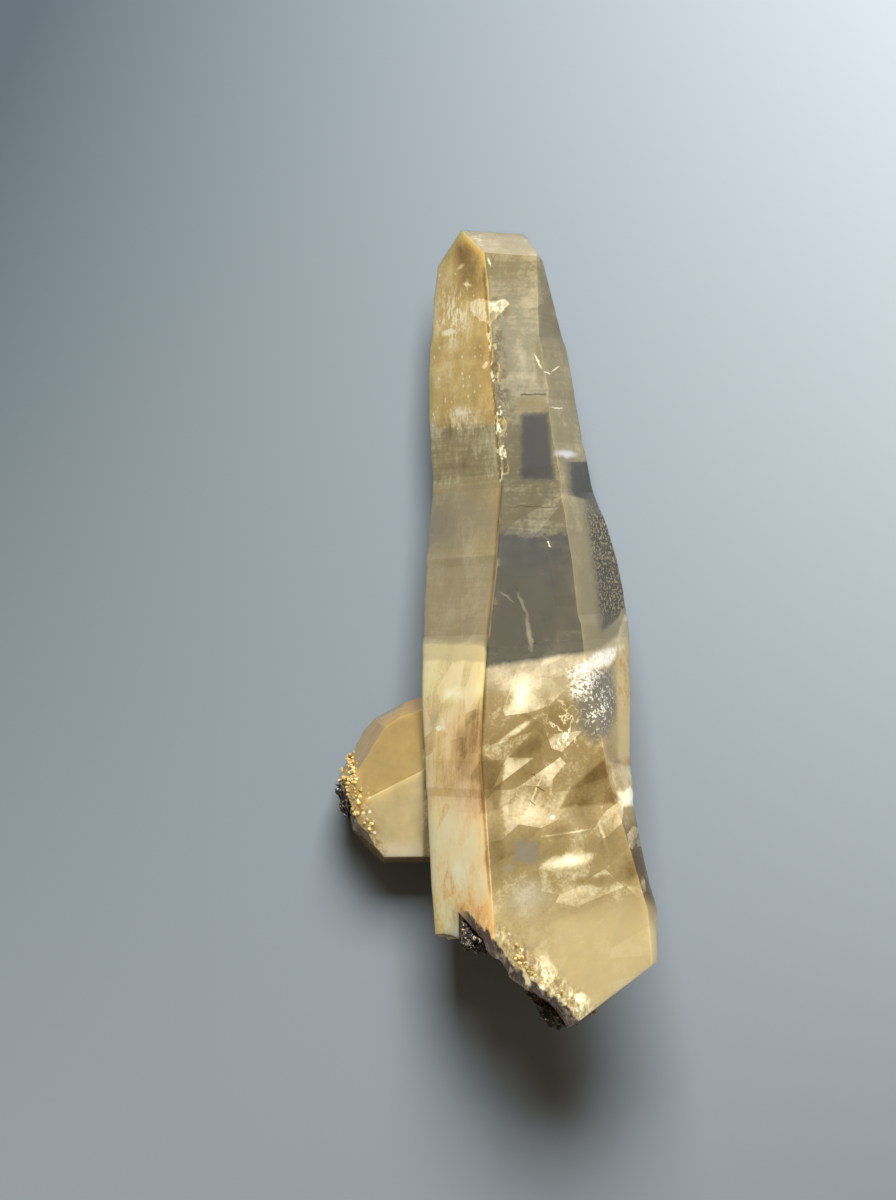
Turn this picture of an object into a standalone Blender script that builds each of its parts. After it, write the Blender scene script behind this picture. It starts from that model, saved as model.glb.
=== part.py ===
"""Raw crystal wand: a long, tapering quartz crystal with a smaller crystal grown on its left side,
lying on its back face, with crusts of dark matrix left where it broke from the rock.

For Blender 4.5. The scene is in metres, +Z up; the dimensions below are in millimetres.
X runs across the wand, Y along it towards the tip, and Z up from the surface that it lies on.
"Along" is the distance from the lowest point of the broken base, so the tip is at WAND_LENGTH.
"""

import math

import bmesh
import bpy
from mathutils import Matrix, Vector, noise

MM = 0.001
WAND_LENGTH = 110.0
WAND_THICKNESS = 30.0
QUARTZ_COLOUR = (0.80, 0.66, 0.36, 1.0)
MATRIX_COLOUR = (0.045, 0.035, 0.045, 1.0)

# The wand's hexagonal section: its prism faces in order round it, named by the way they look.
# A face's normal lies in the XZ plane, at this angle from +X towards +Z.
FACE_ANGLES = {
    "front": 90,
    "right_front": 30,
    "right_back": -30,
    "back": -90,
    "left_back": -150,
    "left_front": 150,
}
SLOPE_60 = math.tan(math.radians(60))
# Growth lines cross the faces a little askew: Along rises by this much for each unit of X.
GROWTH_SLANT = 0.05
# Along, then X of the left edge, left ridge, right ridge and right edge, then how far the front face
# has come down from the wand's full thickness.
SECTIONS = (
    (-6.0, -7.9, -0.6, 20.2, 21.0, 0.0),
    (11.0, -8.4, -0.9, 20.0, 20.9, 0.0),
    (17.0, -8.8, -1.1, 19.6, 20.8, 0.0),
    (20.5, -9.1, -1.3, 18.6, 19.8, 0.0),
    (24.5, -9.3, -1.6, 17.5, 18.9, 0.1),
    (30.7, -9.6, -2.0, 15.6, 17.8, 0.2),
    (38.0, -9.8, -2.5, 13.6, 17.2, 0.5),
    (46.5, -10.3, -2.2, 12.0, 17.5, 1.0),
    (53.4, -10.4, -1.6, 10.7, 17.6, 1.5),
    (57.2, -10.3, -1.3, 10.3, 17.3, 1.8),
    (64.0, -9.9, -0.5, 9.6, 15.9, 2.4),
    (69.0, -9.7, -0.1, 8.8, 14.4, 3.0),
    (74.5, -9.1, 0.3, 7.8, 12.3, 3.6),
    (83.8, -9.5, -0.4, 6.6, 10.5, 4.8),
    (94.0, -9.5, -1.2, 5.3, 8.7, 6.4),
    (102.0, -9.0, -1.6, 5.0, 6.6, 8.0),
    (106.0, -8.5, -2.1, 4.9, 5.6, 8.8),
    (114.0, -7.4, -2.8, 4.8, 5.2, 10.0),
)
# Growth ledges: below each place Along, its face stands this much further out than above it.
LEDGE_RISE = 1.2
LEDGES = {
    "front": ((99.0, 0.14), (87.3, -0.2), (84.0, 0.22), (75.9, -0.18), (68.8, 0.2), (52.0, 0.15)),
    "left_front": ((91.5, 0.16), (83.8, -0.2), (75.2, 0.24), (64.2, -0.14), (53.6, 0.3), (33.0, -0.25)),
    "right_front": ((93.5, 0.2), (86.2, -0.16), (79.0, 0.2), (73.4, -0.22), (55.6, 0.25), (36.0, -0.2)),
    "right_back": ((93.0, 0.24), (80.5, -0.2), (70.0, 0.26), (58.5, -0.3), (47.0, 0.3), (31.5, -0.3)),
    "left_back": ((95.0, 0.2), (78.0, -0.24), (66.0, 0.26), (57.0, -0.2), (49.5, 0.3)),
}
# The tip's faces: angle about the wand as above, tilt towards the tip, and a point on the face.
TIP_FACES = (
    (85, 57.0, (0.0, WAND_LENGTH - 3.6, 21.1)),
    (-84, 50.0, (-4.6, WAND_LENGTH, 15.6)),
    (8, 35.0, (3.7, WAND_LENGTH - 0.8, 16.0)),
    (-30, 33.0, (5.5, WAND_LENGTH - 6.0, 12.2)),
)
# A clean face bevels the base's right corner: a point on it, and its outward normal.
BASE_FACET = ((14.0, 5.7, 28.0), (0.60, -0.79, 0.14))

# Broken surfaces: size of their swells, terraces and teeth, and how far each reaches.
BREAK_CELL = 0.95
SWELL_SIZE, SWELL_REACH = 8.0, 1.1
TERRACE_SIZE, TERRACE_STEP, TERRACE_LEVELS = 3.6, 0.42, 3.0
TOOTH_SIZE, TOOTH_REACH = 1.3, 0.3
# Name: middle of the break, outward normal, width and height, the way the broken part lay, noise seed.
BREAKS = {
    "base_break": ((3.2, 10.1, 15.0), (-0.643, -0.766, -0.10), (22.6, 35.0), (0.0, -26.0, 0.0), 3.7),
    "stub_break": ((-8.5, 13.4, 15.0), (0.05, -1.0, 0.06), (12.4, 35.0), (0.0, -24.0, 0.0), 8.1),
    "side_break": ((-20.6, 30.8, 7.0), (-0.94, -0.30, 0.12), (16.0, 22.0), (-10.0, 0.0, 0.0), 5.2),
}

# The side crystal: a block trimmed by flat faces, each a point on it and its outward normal.
SIDE_BLOCK = ((-10.0, 35.0, 8.0), (34.0, 30.0, 22.0))
SIDE_FACES = (
    ((-10.4, 45.5, 7.0), (-0.34, 0.90, 0.26)),
    ((-14.0, 44.2, 6.0), (-0.54, 0.81, 0.20)),
    ((-16.9, 42.2, 6.0), (-0.81, 0.54, 0.22)),
    ((-20.3, 27.0, 6.0), (-0.72, -0.66, 0.18)),
    ((-15.8, 22.6, 6.0), (0.02, -0.98, 0.20)),
    ((-10.3, 36.0, 14.8), (-0.26, 0.34, 0.90)),
    ((-10.3, 36.0, 14.8), (0.06, -0.30, 0.95)),
    ((-19.0, 35.0, 0.0), (0.02, 0.0, -1.0)),
    ((-21.5, 35.0, 3.5), (-0.75, 0.12, -0.65)),
    ((-14.0, 23.2, 4.0), (-0.1, -0.75, -0.66)),
    ((-13.0, 44.0, 4.0), (-0.1, 0.75, -0.66)),
    ((3.0, 35.0, 7.0), (1.0, 0.0, 0.0)),
)

# Chips along the left ridge: each chip's stretch in X, Y and Z, its place Along and its radius.
CHIP_STRETCH = (0.8, 1.9, 0.7)
CHIPS = (
    (98.2, 0.8), (93.5, 0.6), (90.2, 0.9), (87.0, 0.7), (83.1, 1.0), (79.6, 0.7), (77.2, 0.9), (70.5, 0.6),
)

# Crusts of matrix, each on a broken surface: its place on the surface's two axes, its half sizes
# along them, its thickness and its noise seed.
CRUST_GAP = 0.5
CRUST_LIFT = 0.8
CRUSTS = {
    "matrix_left": ("base_break", (-7.8, 7.4), (2.5, 4.4), 2.6, 11.0),
    "matrix_right": ("base_break", (7.0, 6.0), (4.0, 5.4), 2.8, 31.0),
    "matrix_side": ("side_break", (-0.8, 1.2), (2.8, 2.9), 1.6, 43.0),
}


def interpolated(at):
    """The section's five measures at this place Along, in straight lines between the SECTIONS."""
    for low, high in zip(SECTIONS, SECTIONS[1:]):
        if at <= high[0]:
            share = (at - low[0]) / (high[0] - low[0])
            return [a + (b - a) * share for a, b in zip(low[1:], high[1:])]
    return SECTIONS[-1][1:]


def ledge_offset(face, at):
    """How far the ledges above this place push the face out."""
    offset = 0.0
    for place, step in LEDGES.get(face, ()):
        offset += step * min(1.0, max(0.0, (place + LEDGE_RISE - at) / LEDGE_RISE))
    return offset


def face_distances(at):
    """Distance of each prism face from the Y axis, from the edges and ridges that it passes through."""
    left_edge, left_ridge, right_ridge, right_edge, drop = interpolated(at)
    front = WAND_THICKNESS - drop
    left_height = front - (left_ridge - left_edge) * SLOPE_60
    right_height = front - (right_edge - right_ridge) * SLOPE_60
    through = {
        "front": (0.0, front),
        "right_front": (right_ridge, front),
        "right_back": (right_edge, right_height),
        "back": (0.0, 0.0),
        "left_back": (left_edge, left_height),
        "left_front": (left_ridge, front),
    }
    distances = []
    for face, angle in FACE_ANGLES.items():
        x, z = through[face]
        turn = math.radians(angle)
        distances.append(x * math.cos(turn) + z * math.sin(turn) + ledge_offset(face, at))
    return distances


def section(at):
    """The six corners of the wand's section, each where two neighbouring faces meet."""
    turns = [math.radians(angle) for angle in FACE_ANGLES.values()]
    distances = face_distances(at)
    corners = []
    for k in range(6):
        a, b = turns[k - 1], turns[k]
        det = math.cos(a) * math.sin(b) - math.sin(a) * math.cos(b)
        x = (distances[k - 1] * math.sin(b) - distances[k] * math.sin(a)) / det
        z = (math.cos(a) * distances[k] - math.cos(b) * distances[k - 1]) / det
        corners.append(Vector((x, at + GROWTH_SLANT * x, z)))
    return corners


def slice_off(bm, point, normal):
    """Removes what lies beyond a plane and closes the cut with one flat face."""
    everything = bm.verts[:] + bm.edges[:] + bm.faces[:]
    cut = bmesh.ops.bisect_plane(
        bm, geom=everything, dist=1e-6, plane_co=point, plane_no=normal, clear_outer=True
    )
    rim = [piece for piece in cut["geom_cut"] if isinstance(piece, bmesh.types.BMEdge)]
    bmesh.ops.contextual_create(bm, geom=rim)


def new_object(name, bm, collection, material=None):
    """Turns a bmesh in millimetres into an object in metres, with its faces pointing outwards."""
    bmesh.ops.recalc_face_normals(bm, faces=bm.faces)
    if bm.calc_volume(signed=True) < 0:
        bmesh.ops.reverse_faces(bm, faces=bm.faces)
    bmesh.ops.scale(bm, vec=(MM, MM, MM), verts=bm.verts)
    mesh = bpy.data.meshes.new(name)
    bm.to_mesh(mesh)
    bm.free()
    thing = bpy.data.objects.new(name, mesh)
    collection.objects.link(thing)
    if material:
        mesh.materials.append(material)
    return thing


def make_prism(collection, material):
    """The wand: a loft through its hexagonal sections, trimmed by the tip's faces and one base face."""
    places = {row[0] for row in SECTIONS}
    for ledges in LEDGES.values():
        for place, _ in ledges:
            places |= {place, place + LEDGE_RISE}
    bm = bmesh.new()
    rings = [[bm.verts.new(corner) for corner in section(at)] for at in sorted(places)]
    for low, high in zip(rings, rings[1:]):
        for k in range(6):
            bm.faces.new((low[k - 1], low[k], high[k], high[k - 1]))
    bm.faces.new(rings[0])
    bm.faces.new(rings[-1])
    for angle, tilt, point in TIP_FACES:
        turn, lean = math.radians(angle), math.radians(tilt)
        across = math.cos(lean)
        slice_off(bm, point, (math.cos(turn) * across, math.sin(lean), math.sin(turn) * across))
    slice_off(bm, *BASE_FACET)
    return new_object("quartz_crystal", bm, collection, material)


def make_side_crystal(collection):
    """The smaller crystal: a block trimmed by its flat faces, reaching well into the wand."""
    centre, size = SIDE_BLOCK
    bm = bmesh.new()
    bmesh.ops.create_cube(bm, size=1.0)
    bmesh.ops.scale(bm, vec=size, verts=bm.verts)
    bmesh.ops.translate(bm, vec=centre, verts=bm.verts)
    for point, normal in SIDE_FACES:
        slice_off(bm, point, normal)
    return new_object("side_crystal_body", bm, collection)


def broken_relief(u, v, seed):
    """Height of a broken quartz surface: broad shell-like swells, small terraces and sharp teeth."""
    swell = noise.noise(Vector((u / SWELL_SIZE, v / SWELL_SIZE, seed))) * SWELL_REACH
    level = noise.noise(Vector((u / TERRACE_SIZE, v / TERRACE_SIZE, seed + 20))) * TERRACE_LEVELS
    terrace = (math.floor(level) + min(1.0, (level % 1.0) * 3.0)) * TERRACE_STEP
    tooth = noise.noise(Vector((u / TOOTH_SIZE, v / TOOTH_SIZE, seed + 40))) * TOOTH_REACH
    return swell + terrace + tooth


def break_frame(name):
    """Matrix of a broken surface: local Z is its outward normal, X runs across the wand and down."""
    centre, normal, _, _, _ = BREAKS[name]
    out = Vector(normal).normalized()
    across = Vector((0.0, 0.0, 1.0)).cross(out).normalized()
    if across.x < 0:
        across = -across
    frame = Matrix((across, out.cross(across), out)).transposed().to_4x4()
    frame.translation = Vector(centre)
    return frame


def make_break_block(name, collection, lift=0.0):
    """The block that broke away. Lifted off the break, it also stands clear of the rock beside it."""
    _, _, (width, height), away, seed = BREAKS[name]
    columns, rows = round(width / BREAK_CELL), round(height / BREAK_CELL)
    bm = bmesh.new()
    bmesh.ops.create_grid(bm, x_segments=columns, y_segments=rows, size=0.5)
    bmesh.ops.scale(bm, vec=(width, height, 1.0), verts=bm.verts)
    for vert in bm.verts:
        vert.co.z = broken_relief(vert.co.x, vert.co.y, seed) + lift
    if lift:
        outermost = [vert for vert in bm.verts if abs(vert.co.x) > width / 2 - BREAK_CELL / 2]
        bmesh.ops.delete(bm, geom=outermost, context="VERTS")
    bmesh.ops.transform(bm, matrix=break_frame(name), verts=bm.verts)
    back = bmesh.ops.extrude_face_region(bm, geom=bm.faces[:])
    moved = [piece for piece in back["geom"] if isinstance(piece, bmesh.types.BMVert)]
    bmesh.ops.translate(bm, vec=away, verts=moved)
    return new_object(f"{name}_lifted" if lift else name, bm, collection)


def make_chips(collection):
    """Small rough lumps set along the left ridge, which leave its chips when they are cut away."""
    bm = bmesh.new()
    for k, (at, radius) in enumerate(CHIPS):
        ridge = section(at)[0]
        made = bmesh.ops.create_icosphere(bm, subdivisions=2, radius=radius)
        for vert in made["verts"]:
            bump = 1.0 + 0.35 * noise.noise(vert.co * 1.4 + Vector((k * 5.0, 0.0, 0.0)))
            vert.co = vert.co * Vector(CHIP_STRETCH) * bump
        aside = (-1) ** k * 0.3
        bmesh.ops.translate(bm, vec=ridge + Vector((aside, 0.0, 0.25 * radius)), verts=made["verts"])
    return new_object("ridge_chips", bm, collection)


def make_crust(name, collection, material):
    """A rough lump of matrix, its middle a little way out from a broken surface."""
    surface, (u, v), (half_u, half_v), thickness, seed = CRUSTS[name]
    bm = bmesh.new()
    bmesh.ops.create_icosphere(bm, subdivisions=4, radius=1.0)
    for vert in bm.verts:
        way = vert.co.copy()
        lump = noise.noise(way * 1.9 + Vector((seed, 0.0, 0.0)))
        grain = noise.noise(way * 5.5 + Vector((0.0, seed, 0.0)))
        reach = 1.0 + 0.5 * lump + 0.22 * grain
        rise = CRUST_LIFT + way.z * (thickness - CRUST_LIFT)
        vert.co = Vector((u + way.x * half_u * reach, v + way.y * half_v * reach, rise * reach))
    bmesh.ops.transform(bm, matrix=break_frame(surface), verts=bm.verts)
    return new_object(name, bm, collection, material)


def make_material(name, colour, roughness):
    """A plain Principled material of this colour and roughness."""
    material = bpy.data.materials.new(name)
    material.use_nodes = True
    shader = material.node_tree.nodes["Principled BSDF"]
    shader.inputs["Base Color"].default_value = colour
    shader.inputs["Roughness"].default_value = roughness
    shader.inputs["Metallic"].default_value = 0.0
    return material


def combine(target, other, operation):
    """Joins another solid to the target or cuts it away, with a Boolean modifier."""
    modifier = target.modifiers.new(f"{operation.lower()}_{other.name}", "BOOLEAN")
    modifier.operation = operation
    modifier.object = other
    other.hide_render = True
    other.display_type = "WIRE"


def stand_over_origin(parts, parent):
    """Moves the parts' parent so that the origin is under the middle of their box, at its base."""
    bpy.context.view_layer.update()
    graph = bpy.context.evaluated_depsgraph_get()
    corners = [part.matrix_world @ Vector(c) for part in parts for c in part.evaluated_get(graph).bound_box]
    low = Vector(min(c[k] for c in corners) for k in range(3))
    high = Vector(max(c[k] for c in corners) for k in range(3))
    parent.location = (-(low.x + high.x) / 2, -(low.y + high.y) / 2, -low.z)


def main():
    for thing in list(bpy.data.objects):
        bpy.data.objects.remove(thing)
    wand = bpy.data.collections.new("raw_crystal_wand")
    cutters = bpy.data.collections.new("cutters")
    for collection in (wand, cutters):
        bpy.context.scene.collection.children.link(collection)
    quartz = make_material("quartz", QUARTZ_COLOUR, 0.08)
    matrix = make_material("matrix", MATRIX_COLOUR, 0.45)

    crystal = make_prism(wand, quartz)
    helpers = [make_side_crystal(cutters)]
    combine(crystal, helpers[0], "UNION")
    for name in BREAKS:
        helpers.append(make_break_block(name, cutters))
        combine(crystal, helpers[-1], "DIFFERENCE")
    helpers.append(make_chips(cutters))
    combine(crystal, helpers[-1], "DIFFERENCE")
    crusts = []
    for name, (surface, *_) in CRUSTS.items():
        crusts.append(make_crust(name, wand, matrix))
        helpers.append(make_break_block(surface, cutters, lift=CRUST_GAP))
        combine(crusts[-1], helpers[-1], "INTERSECT")

    stand = bpy.data.objects.new("wand_frame", None)
    wand.objects.link(stand)
    for thing in (crystal, *helpers, *crusts):
        thing.parent = stand
    stand_over_origin([crystal, *crusts], stand)


main()
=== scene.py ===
"""The looks of a raw crystal wand: smoky citrine quartz with growth zones, fractures and druse.

Everything is in metres in the code and in millimetres in the named sizes. X runs across the wand,
Y along it towards the tip, and Z up from the surface that it lies on. "Across" and "along" are the
wand's own measures: across from its axis, and along from the lowest point of its broken base.
"""

import math

import bmesh
import bpy
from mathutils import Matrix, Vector, noise


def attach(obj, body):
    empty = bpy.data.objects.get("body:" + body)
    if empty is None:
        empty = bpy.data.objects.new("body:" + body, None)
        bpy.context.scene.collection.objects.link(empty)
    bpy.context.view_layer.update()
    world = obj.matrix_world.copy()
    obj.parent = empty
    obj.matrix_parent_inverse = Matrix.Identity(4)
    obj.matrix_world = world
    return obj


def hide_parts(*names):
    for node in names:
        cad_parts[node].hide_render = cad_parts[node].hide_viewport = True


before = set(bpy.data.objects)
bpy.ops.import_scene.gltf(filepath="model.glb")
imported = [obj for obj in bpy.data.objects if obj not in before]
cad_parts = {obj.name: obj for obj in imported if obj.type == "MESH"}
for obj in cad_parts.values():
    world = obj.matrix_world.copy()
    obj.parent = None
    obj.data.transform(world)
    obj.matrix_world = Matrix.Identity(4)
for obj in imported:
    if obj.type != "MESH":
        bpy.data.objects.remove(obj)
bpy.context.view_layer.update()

MM = 0.001

# ---------------------------------------------------------------- sizes and places, in millimetres
WAND_LENGTH = 110.0
AXIS_X = 1.012
AXIS_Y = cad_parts["quartz_crystal"].bound_box[6][1] / MM - WAND_LENGTH

EYE = (-6.02, 3.68, 466.0)
FOCUS_HEIGHT = 16.0
VIEW_HEIGHT = 164.8
SENSOR = 24.0

FLOOR_SIZE = 2.4
KEY_LIGHT = {"direction": (0.07, 0.80, 1.0), "distance": 0.6, "size": 0.28, "power": 17.4}
SKY_COLOUR = "#ffe8cc"
SKY_STRENGTH = 0.36

# Triangles of the CAD are joined within this reach, and faces that turn less than this many degrees
# are made whole.
WELD_REACH = 0.002
FLAT_ANGLE = 0.7
# Worn edges: how far they are cut back, and the length, face area and degrees from which an edge wears.
EDGE_WEAR = 0.08
EDGE_LEAST_LENGTH = 1.6
EDGE_LEAST_AREA = 2.0
EDGE_LEAST_ANGLE = 15

# ---------------------------------------------------------------- shader toolkit


class Number:
    """A number socket: arithmetic on it adds Math nodes to its material."""

    def __init__(self, graph, socket):
        self.graph = graph
        self.socket = socket

    def apply(self, operation, *others):
        return self.graph.node("ShaderNodeMath", {"operation": operation}, self, *others).number()

    def __add__(self, other):
        return self.apply("ADD", other)

    def __sub__(self, other):
        return self.apply("SUBTRACT", other)

    def __rsub__(self, other):
        return self.graph.node("ShaderNodeMath", {"operation": "SUBTRACT"}, other, self).number()

    def __mul__(self, other):
        return self.apply("MULTIPLY", other)

    def __truediv__(self, other):
        return self.apply("DIVIDE", other)

    __radd__ = __add__
    __rmul__ = __mul__

    def least(self, other):
        return self.apply("MINIMUM", other)

    def most(self, other):
        return self.apply("MAXIMUM", other)

    def absolute(self):
        return self.apply("ABSOLUTE")

    def rise(self, low, high, top=1.0):
        """0 below low, top above high, and smooth between; it falls where low is the greater."""
        ends = (low, high, 0.0, top) if low < high else (high, low, top, 0.0)
        settings = {"interpolation_type": "SMOOTHSTEP", "clamp": False}
        return self.graph.node("ShaderNodeMapRange", settings, self, *ends).number()

    def between(self, low, high, soft):
        """1 between low and high, with soft edges."""
        return self.rise(low - soft, low + soft) * self.rise(high + soft, high - soft)

    def line(self, middle, width):
        """1 where this is at the middle value, falling to 0 at this distance from it."""
        return (self - middle).absolute().rise(width, 0.0)


class Made:
    """A node, with its outputs as numbers or as plain sockets."""

    def __init__(self, graph, node):
        self.graph = graph
        self.raw = node

    def number(self, output=0):
        return Number(self.graph, self.raw.outputs[output])

    def out(self, output=0):
        return self.raw.outputs[output]


class Graph:
    """A material's node tree, emptied, with the ways of adding to it."""

    def __init__(self, name):
        self.material = bpy.data.materials.new(name)
        self.material.use_nodes = True
        self.tree = self.material.node_tree
        self.tree.nodes.clear()

    def node(self, kind, settings, *inputs, **named):
        """Adds a node: its settings first, then its sockets by place or by name."""
        made = self.tree.nodes.new(kind)
        for key, value in settings.items():
            if key == "stops":
                self.set_stops(made.color_ramp, value)
            elif key == "points":
                self.set_points(made.mapping, value)
            else:
                setattr(made, key, value)
        for key, value in [*enumerate(inputs), *named.items()]:
            socket = made.inputs[key if isinstance(key, int) else key.replace("_", " ")]
            self.feed(socket, value)
        return Made(self, made)

    def feed(self, socket, value):
        """Links a socket or sets its value."""
        if isinstance(value, Number):
            self.tree.links.new(value.socket, socket)
        elif isinstance(value, bpy.types.NodeSocket):
            self.tree.links.new(value, socket)
        elif value is not None:
            socket.default_value = value

    @staticmethod
    def set_stops(ramp, stops):
        while len(ramp.elements) < len(stops):
            ramp.elements.new(0.5)
        for element, (position, colour) in zip(ramp.elements, stops):
            element.position = position
            element.color = colour

    @staticmethod
    def set_points(mapping, points):
        """A curve through these points, from 0 to 1 both ways, in straight lines."""
        curve = mapping.curves[0]
        while len(curve.points) < len(points):
            curve.points.new(0.5, 0.5)
        for point, place in zip(curve.points, points):
            point.location = place
            point.handle_type = "VECTOR"
        mapping.update()

    def place(self):
        """Across and along the wand in millimetres, and the raw position in metres."""
        where = self.node("ShaderNodeTexCoord", {}).out("Object")
        parts = self.node("ShaderNodeSeparateXYZ", {}, where)
        x, y = (parts.number(k) * (1.0 / MM) for k in range(2))
        return x - AXIS_X, y - AXIS_Y, where

    def facing(self):
        """X, Y and Z of the surface's own normal."""
        normal = self.node("ShaderNodeNewGeometry", {}).out("Normal")
        parts = self.node("ShaderNodeSeparateXYZ", {}, normal)
        return tuple(parts.number(k) for k in range(3))

    def stretched(self, where, size, stretch, turn):
        """The place measured in steps of this many millimetres times the stretch, turned by degrees."""
        scale = tuple(size * s * MM for s in stretch)
        turned = (0.0, 0.0, math.radians(turn))
        settings = {"vector_type": "TEXTURE"}
        return self.node("ShaderNodeMapping", settings, where, Rotation=turned, Scale=scale).out()

    def noise(self, where, size, stretch=(1.0, 1.0, 1.0), detail=4.0, roughness=0.55, turn=0.0):
        """Noise from 0 to 1 whose lumps are about this many millimetres across, before the stretch."""
        mapped = self.stretched(where, size, stretch, turn)
        made = self.node("ShaderNodeTexNoise", {}, mapped, Scale=1.0, Detail=detail, Roughness=roughness)
        return made.number(0)

    def cells(self, where, size, stretch=(1.0, 1.0, 1.0), turn=0.0):
        """Cells about this many millimetres across: distance from the middle, and a random share."""
        mapped = self.stretched(where, size, stretch, turn)
        made = self.node("ShaderNodeTexVoronoi", {}, mapped, Scale=1.0)
        share = self.node("ShaderNodeSeparateColor", {}, made.out("Color")).number(0)
        return made.number("Distance"), share

    @staticmethod
    def specks(cells, share, reach):
        """Round specks in this share of the cells."""
        distance, chance = cells
        return distance.rise(reach, reach * 0.6) * chance.rise(1.0 - share, 1.02 - share)

    def spot(self, across, along):
        """The place as a vector whose third part is 1, for polygon and oval."""
        return self.node("ShaderNodeCombineXYZ", {}, across, along, 1.0).out()

    def dot(self, first, second):
        return self.node("ShaderNodeVectorMath", {"operation": "DOT_PRODUCT"}, first, second).number("Value")

    def polygon(self, spot, corners, soft, top):
        """Rises to top inside a convex polygon, over this distance from its sides."""
        pairs = list(zip(corners, corners[1:] + corners[:1]))
        turning = sum(a[0] * b[1] - b[0] * a[1] for a, b in pairs)
        way = math.copysign(1.0, turning)
        inside = None
        for (x1, y1), (x2, y2) in pairs:
            length = math.dist((x1, y1), (x2, y2)) * way
            normal = ((y1 - y2) / length, (x2 - x1) / length)
            side = (*normal, -(normal[0] * x1 + normal[1] * y1))
            depth = self.dot(spot, side)
            inside = inside.least(depth) if inside else depth
        return inside.rise(-soft / 2, soft / 2, top)

    def oval(self, spot, middle, reach, turn, soft, top):
        """Rises to top inside an oval turned by these degrees, over this share of its reach."""
        square = None
        for way, length in zip((turn, turn + 90), reach):
            axis = (math.cos(math.radians(way)) / length, math.sin(math.radians(way)) / length)
            part = self.dot(spot, (*axis, -(axis[0] * middle[0] + axis[1] * middle[1])))
            square = square + part * part if square else part * part
        return square.apply("SQRT").rise(1.0, 1.0 - soft, top)

    def follow(self, value, points):
        """The value worked out along straight lines through these (value, result) points."""
        values = [point[0] for point in points]
        results = [point[1] for point in points]
        low, high = min(results), max(results)
        scaled = [((v - values[0]) / (values[-1] - values[0]), (r - low) / (high - low)) for v, r in points]
        share = (value - values[0]) / (values[-1] - values[0])
        made = self.node("ShaderNodeFloatCurve", {"points": scaled}, Factor=1.0, Value=share)
        return made.number() * (high - low) + low

    def blend(self, share, first, second, way="MIX"):
        """The first colour turning into the second as the share goes from 0 to 1."""
        made = self.node("ShaderNodeMix", {"data_type": "RGBA", "blend_type": way})
        self.feed(made.raw.inputs[0], share)
        self.feed(made.raw.inputs[6], first)
        self.feed(made.raw.inputs[7], second)
        return made.raw.outputs[2]

    def shade(self, factor, colour):
        """A colour made brighter or darker by a number."""
        scaled = self.node("ShaderNodeVectorMath", {"operation": "SCALE"}, colour)
        self.feed(scaled.raw.inputs["Scale"], factor)
        return scaled.out()

    def zones(self, value, stops, low, high):
        """Colours that change along a number, given as (value, #rrggbb) from low to high."""
        placed = [((at - low) / (high - low), colour(code)) for at, code in stops]
        return self.node("ShaderNodeValToRGB", {"stops": placed}, (value - low) / (high - low)).out()

    def bump(self, height, strength, distance):
        return self.node("ShaderNodeBump", {}, Strength=strength, Distance=distance, Height=height).out()

    def finish(self, surface, volume=None):
        output = self.node("ShaderNodeOutputMaterial", {})
        self.tree.links.new(surface, output.raw.inputs["Surface"])
        if volume is not None:
            self.tree.links.new(volume, output.raw.inputs["Volume"])
        return self.material


def colour(code):
    """A linear colour from its #rrggbb code."""
    parts = [int(code[k:k + 2], 16) / 255 for k in (1, 3, 5)]
    return (*(c / 12.92 if c <= 0.04045 else ((c + 0.055) / 1.055) ** 2.4 for c in parts), 1.0)


# ---------------------------------------------------------------- crystal
# The colours of the quartz, from its palest glow to the smoke of its clear windows, where the smoke is also
# painted shade for the shadowed floor seen through them.
STRAW = "#ffe0a8"
GOLD = "#ffcc80"
PALE_HONEY = "#ecdca4"
HONEY = "#e0c284"
AMBER = "#d4b870"
CREAM_TAN = "#ccbc90"
FACET_TAN = "#b4a478"
TAN = "#b0a078"
VEIL_TAN = "#b0a488"
GREY_BROWN = "#a89a6c"
STRAW_BROWN = "#a49268"
GREY_TAN = "#948a68"
CREAM_GREY = "#908a74"
BROWN_HONEY = "#94845a"
DEEP_HONEY = "#8c7a50"
DUSK = "#807658"
SMOKY_TAN = "#746e58"
SMOKE = "#6a685a"
DEEP_SMOKE = "#585a58"
DARK_BROWN = "#5c4c2e"
TIP_CREAM = "#9e9278"
SIDE_AMBER = "#927e50"
SIDE_PALE = "#bcac80"
SIDE_RIM = "#a08248"
SIDE_CREAM = "#dfd3ba"
SIDE_BROWN = "#a5884f"
# The right side's dark strip, painted shade, and its fine dots.
STRIP_DARK = "#403f38"
STRIP_DOTS = "#ab9a6e"
VEIL_AND_REFLECTION_WHITE = "#ebe7da"
GLITTER_DARK = "#5f5a4a"
PAINTED_GLINT_WHITE = "#f4f1e2"
EDGE_TAN = "#b8a777"
EDGE_RUST = "#a8824a"
STAIN_DARK = "#2b2529"
STAIN_GREY = "#6b5f50"
TOOTH = "#cdbf92"
# The painted glow of light inside the crystal and of its glints.
PAINTED_GLOW = "#fff4d0"
ABSORPTION = "#f2dcae"
QUARTZ_IOR = 1.544
# What the tint is multiplied by in the deepest shadow.
DEEPENING = (0.42, 0.34, 0.20, 1.0)
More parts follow.
